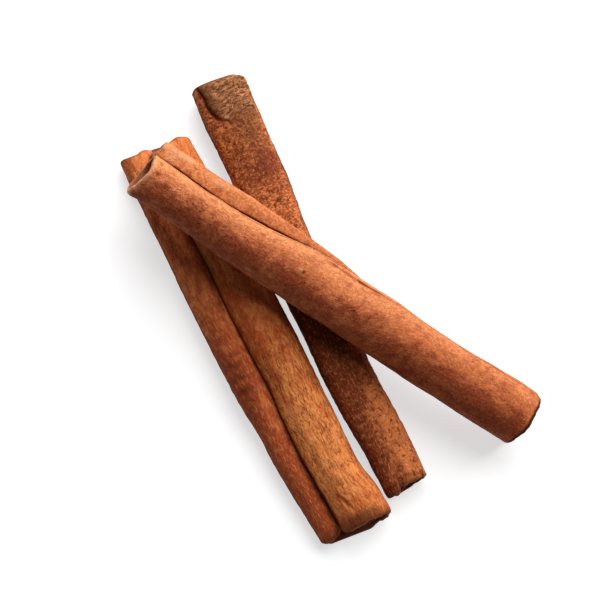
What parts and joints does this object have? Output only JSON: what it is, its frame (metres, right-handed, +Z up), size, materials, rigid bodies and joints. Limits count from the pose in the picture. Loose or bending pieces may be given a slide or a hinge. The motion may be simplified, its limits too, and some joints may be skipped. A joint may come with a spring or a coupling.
{
  "type": "bundle of cinnamon sticks",
  "caption": "Loose bundle of rolled cassia bark quills: two lying side by side and one resting across them, with open scroll ends.",
  "frame": {"origin": "under the middle of the bundle's bounding box, on the surface that it lies on", "axes": "+Z up, +Y from the near ends of the two lying quills towards their far ends, +X to the right seen from the near side"},
  "size_m": [0.0764, 0.0868, 0.0204],
  "materials": {
    "bark_corked": "dry matt bark, reddish brown, with a rough olive brown cork patch at one end",
    "bark_twin_roll": "dry matt bark, orange brown, fine lengthwise fibres",
    "bark_crossing": "dry matt bark, light orange brown, smooth with fine specks"
  },
  "bodies": {
    "root": {"quill_corked": "bark_corked", "quill_twin_roll": "bark_twin_roll", "quill_crossing": "bark_crossing"}
  },
  "joints": []
}
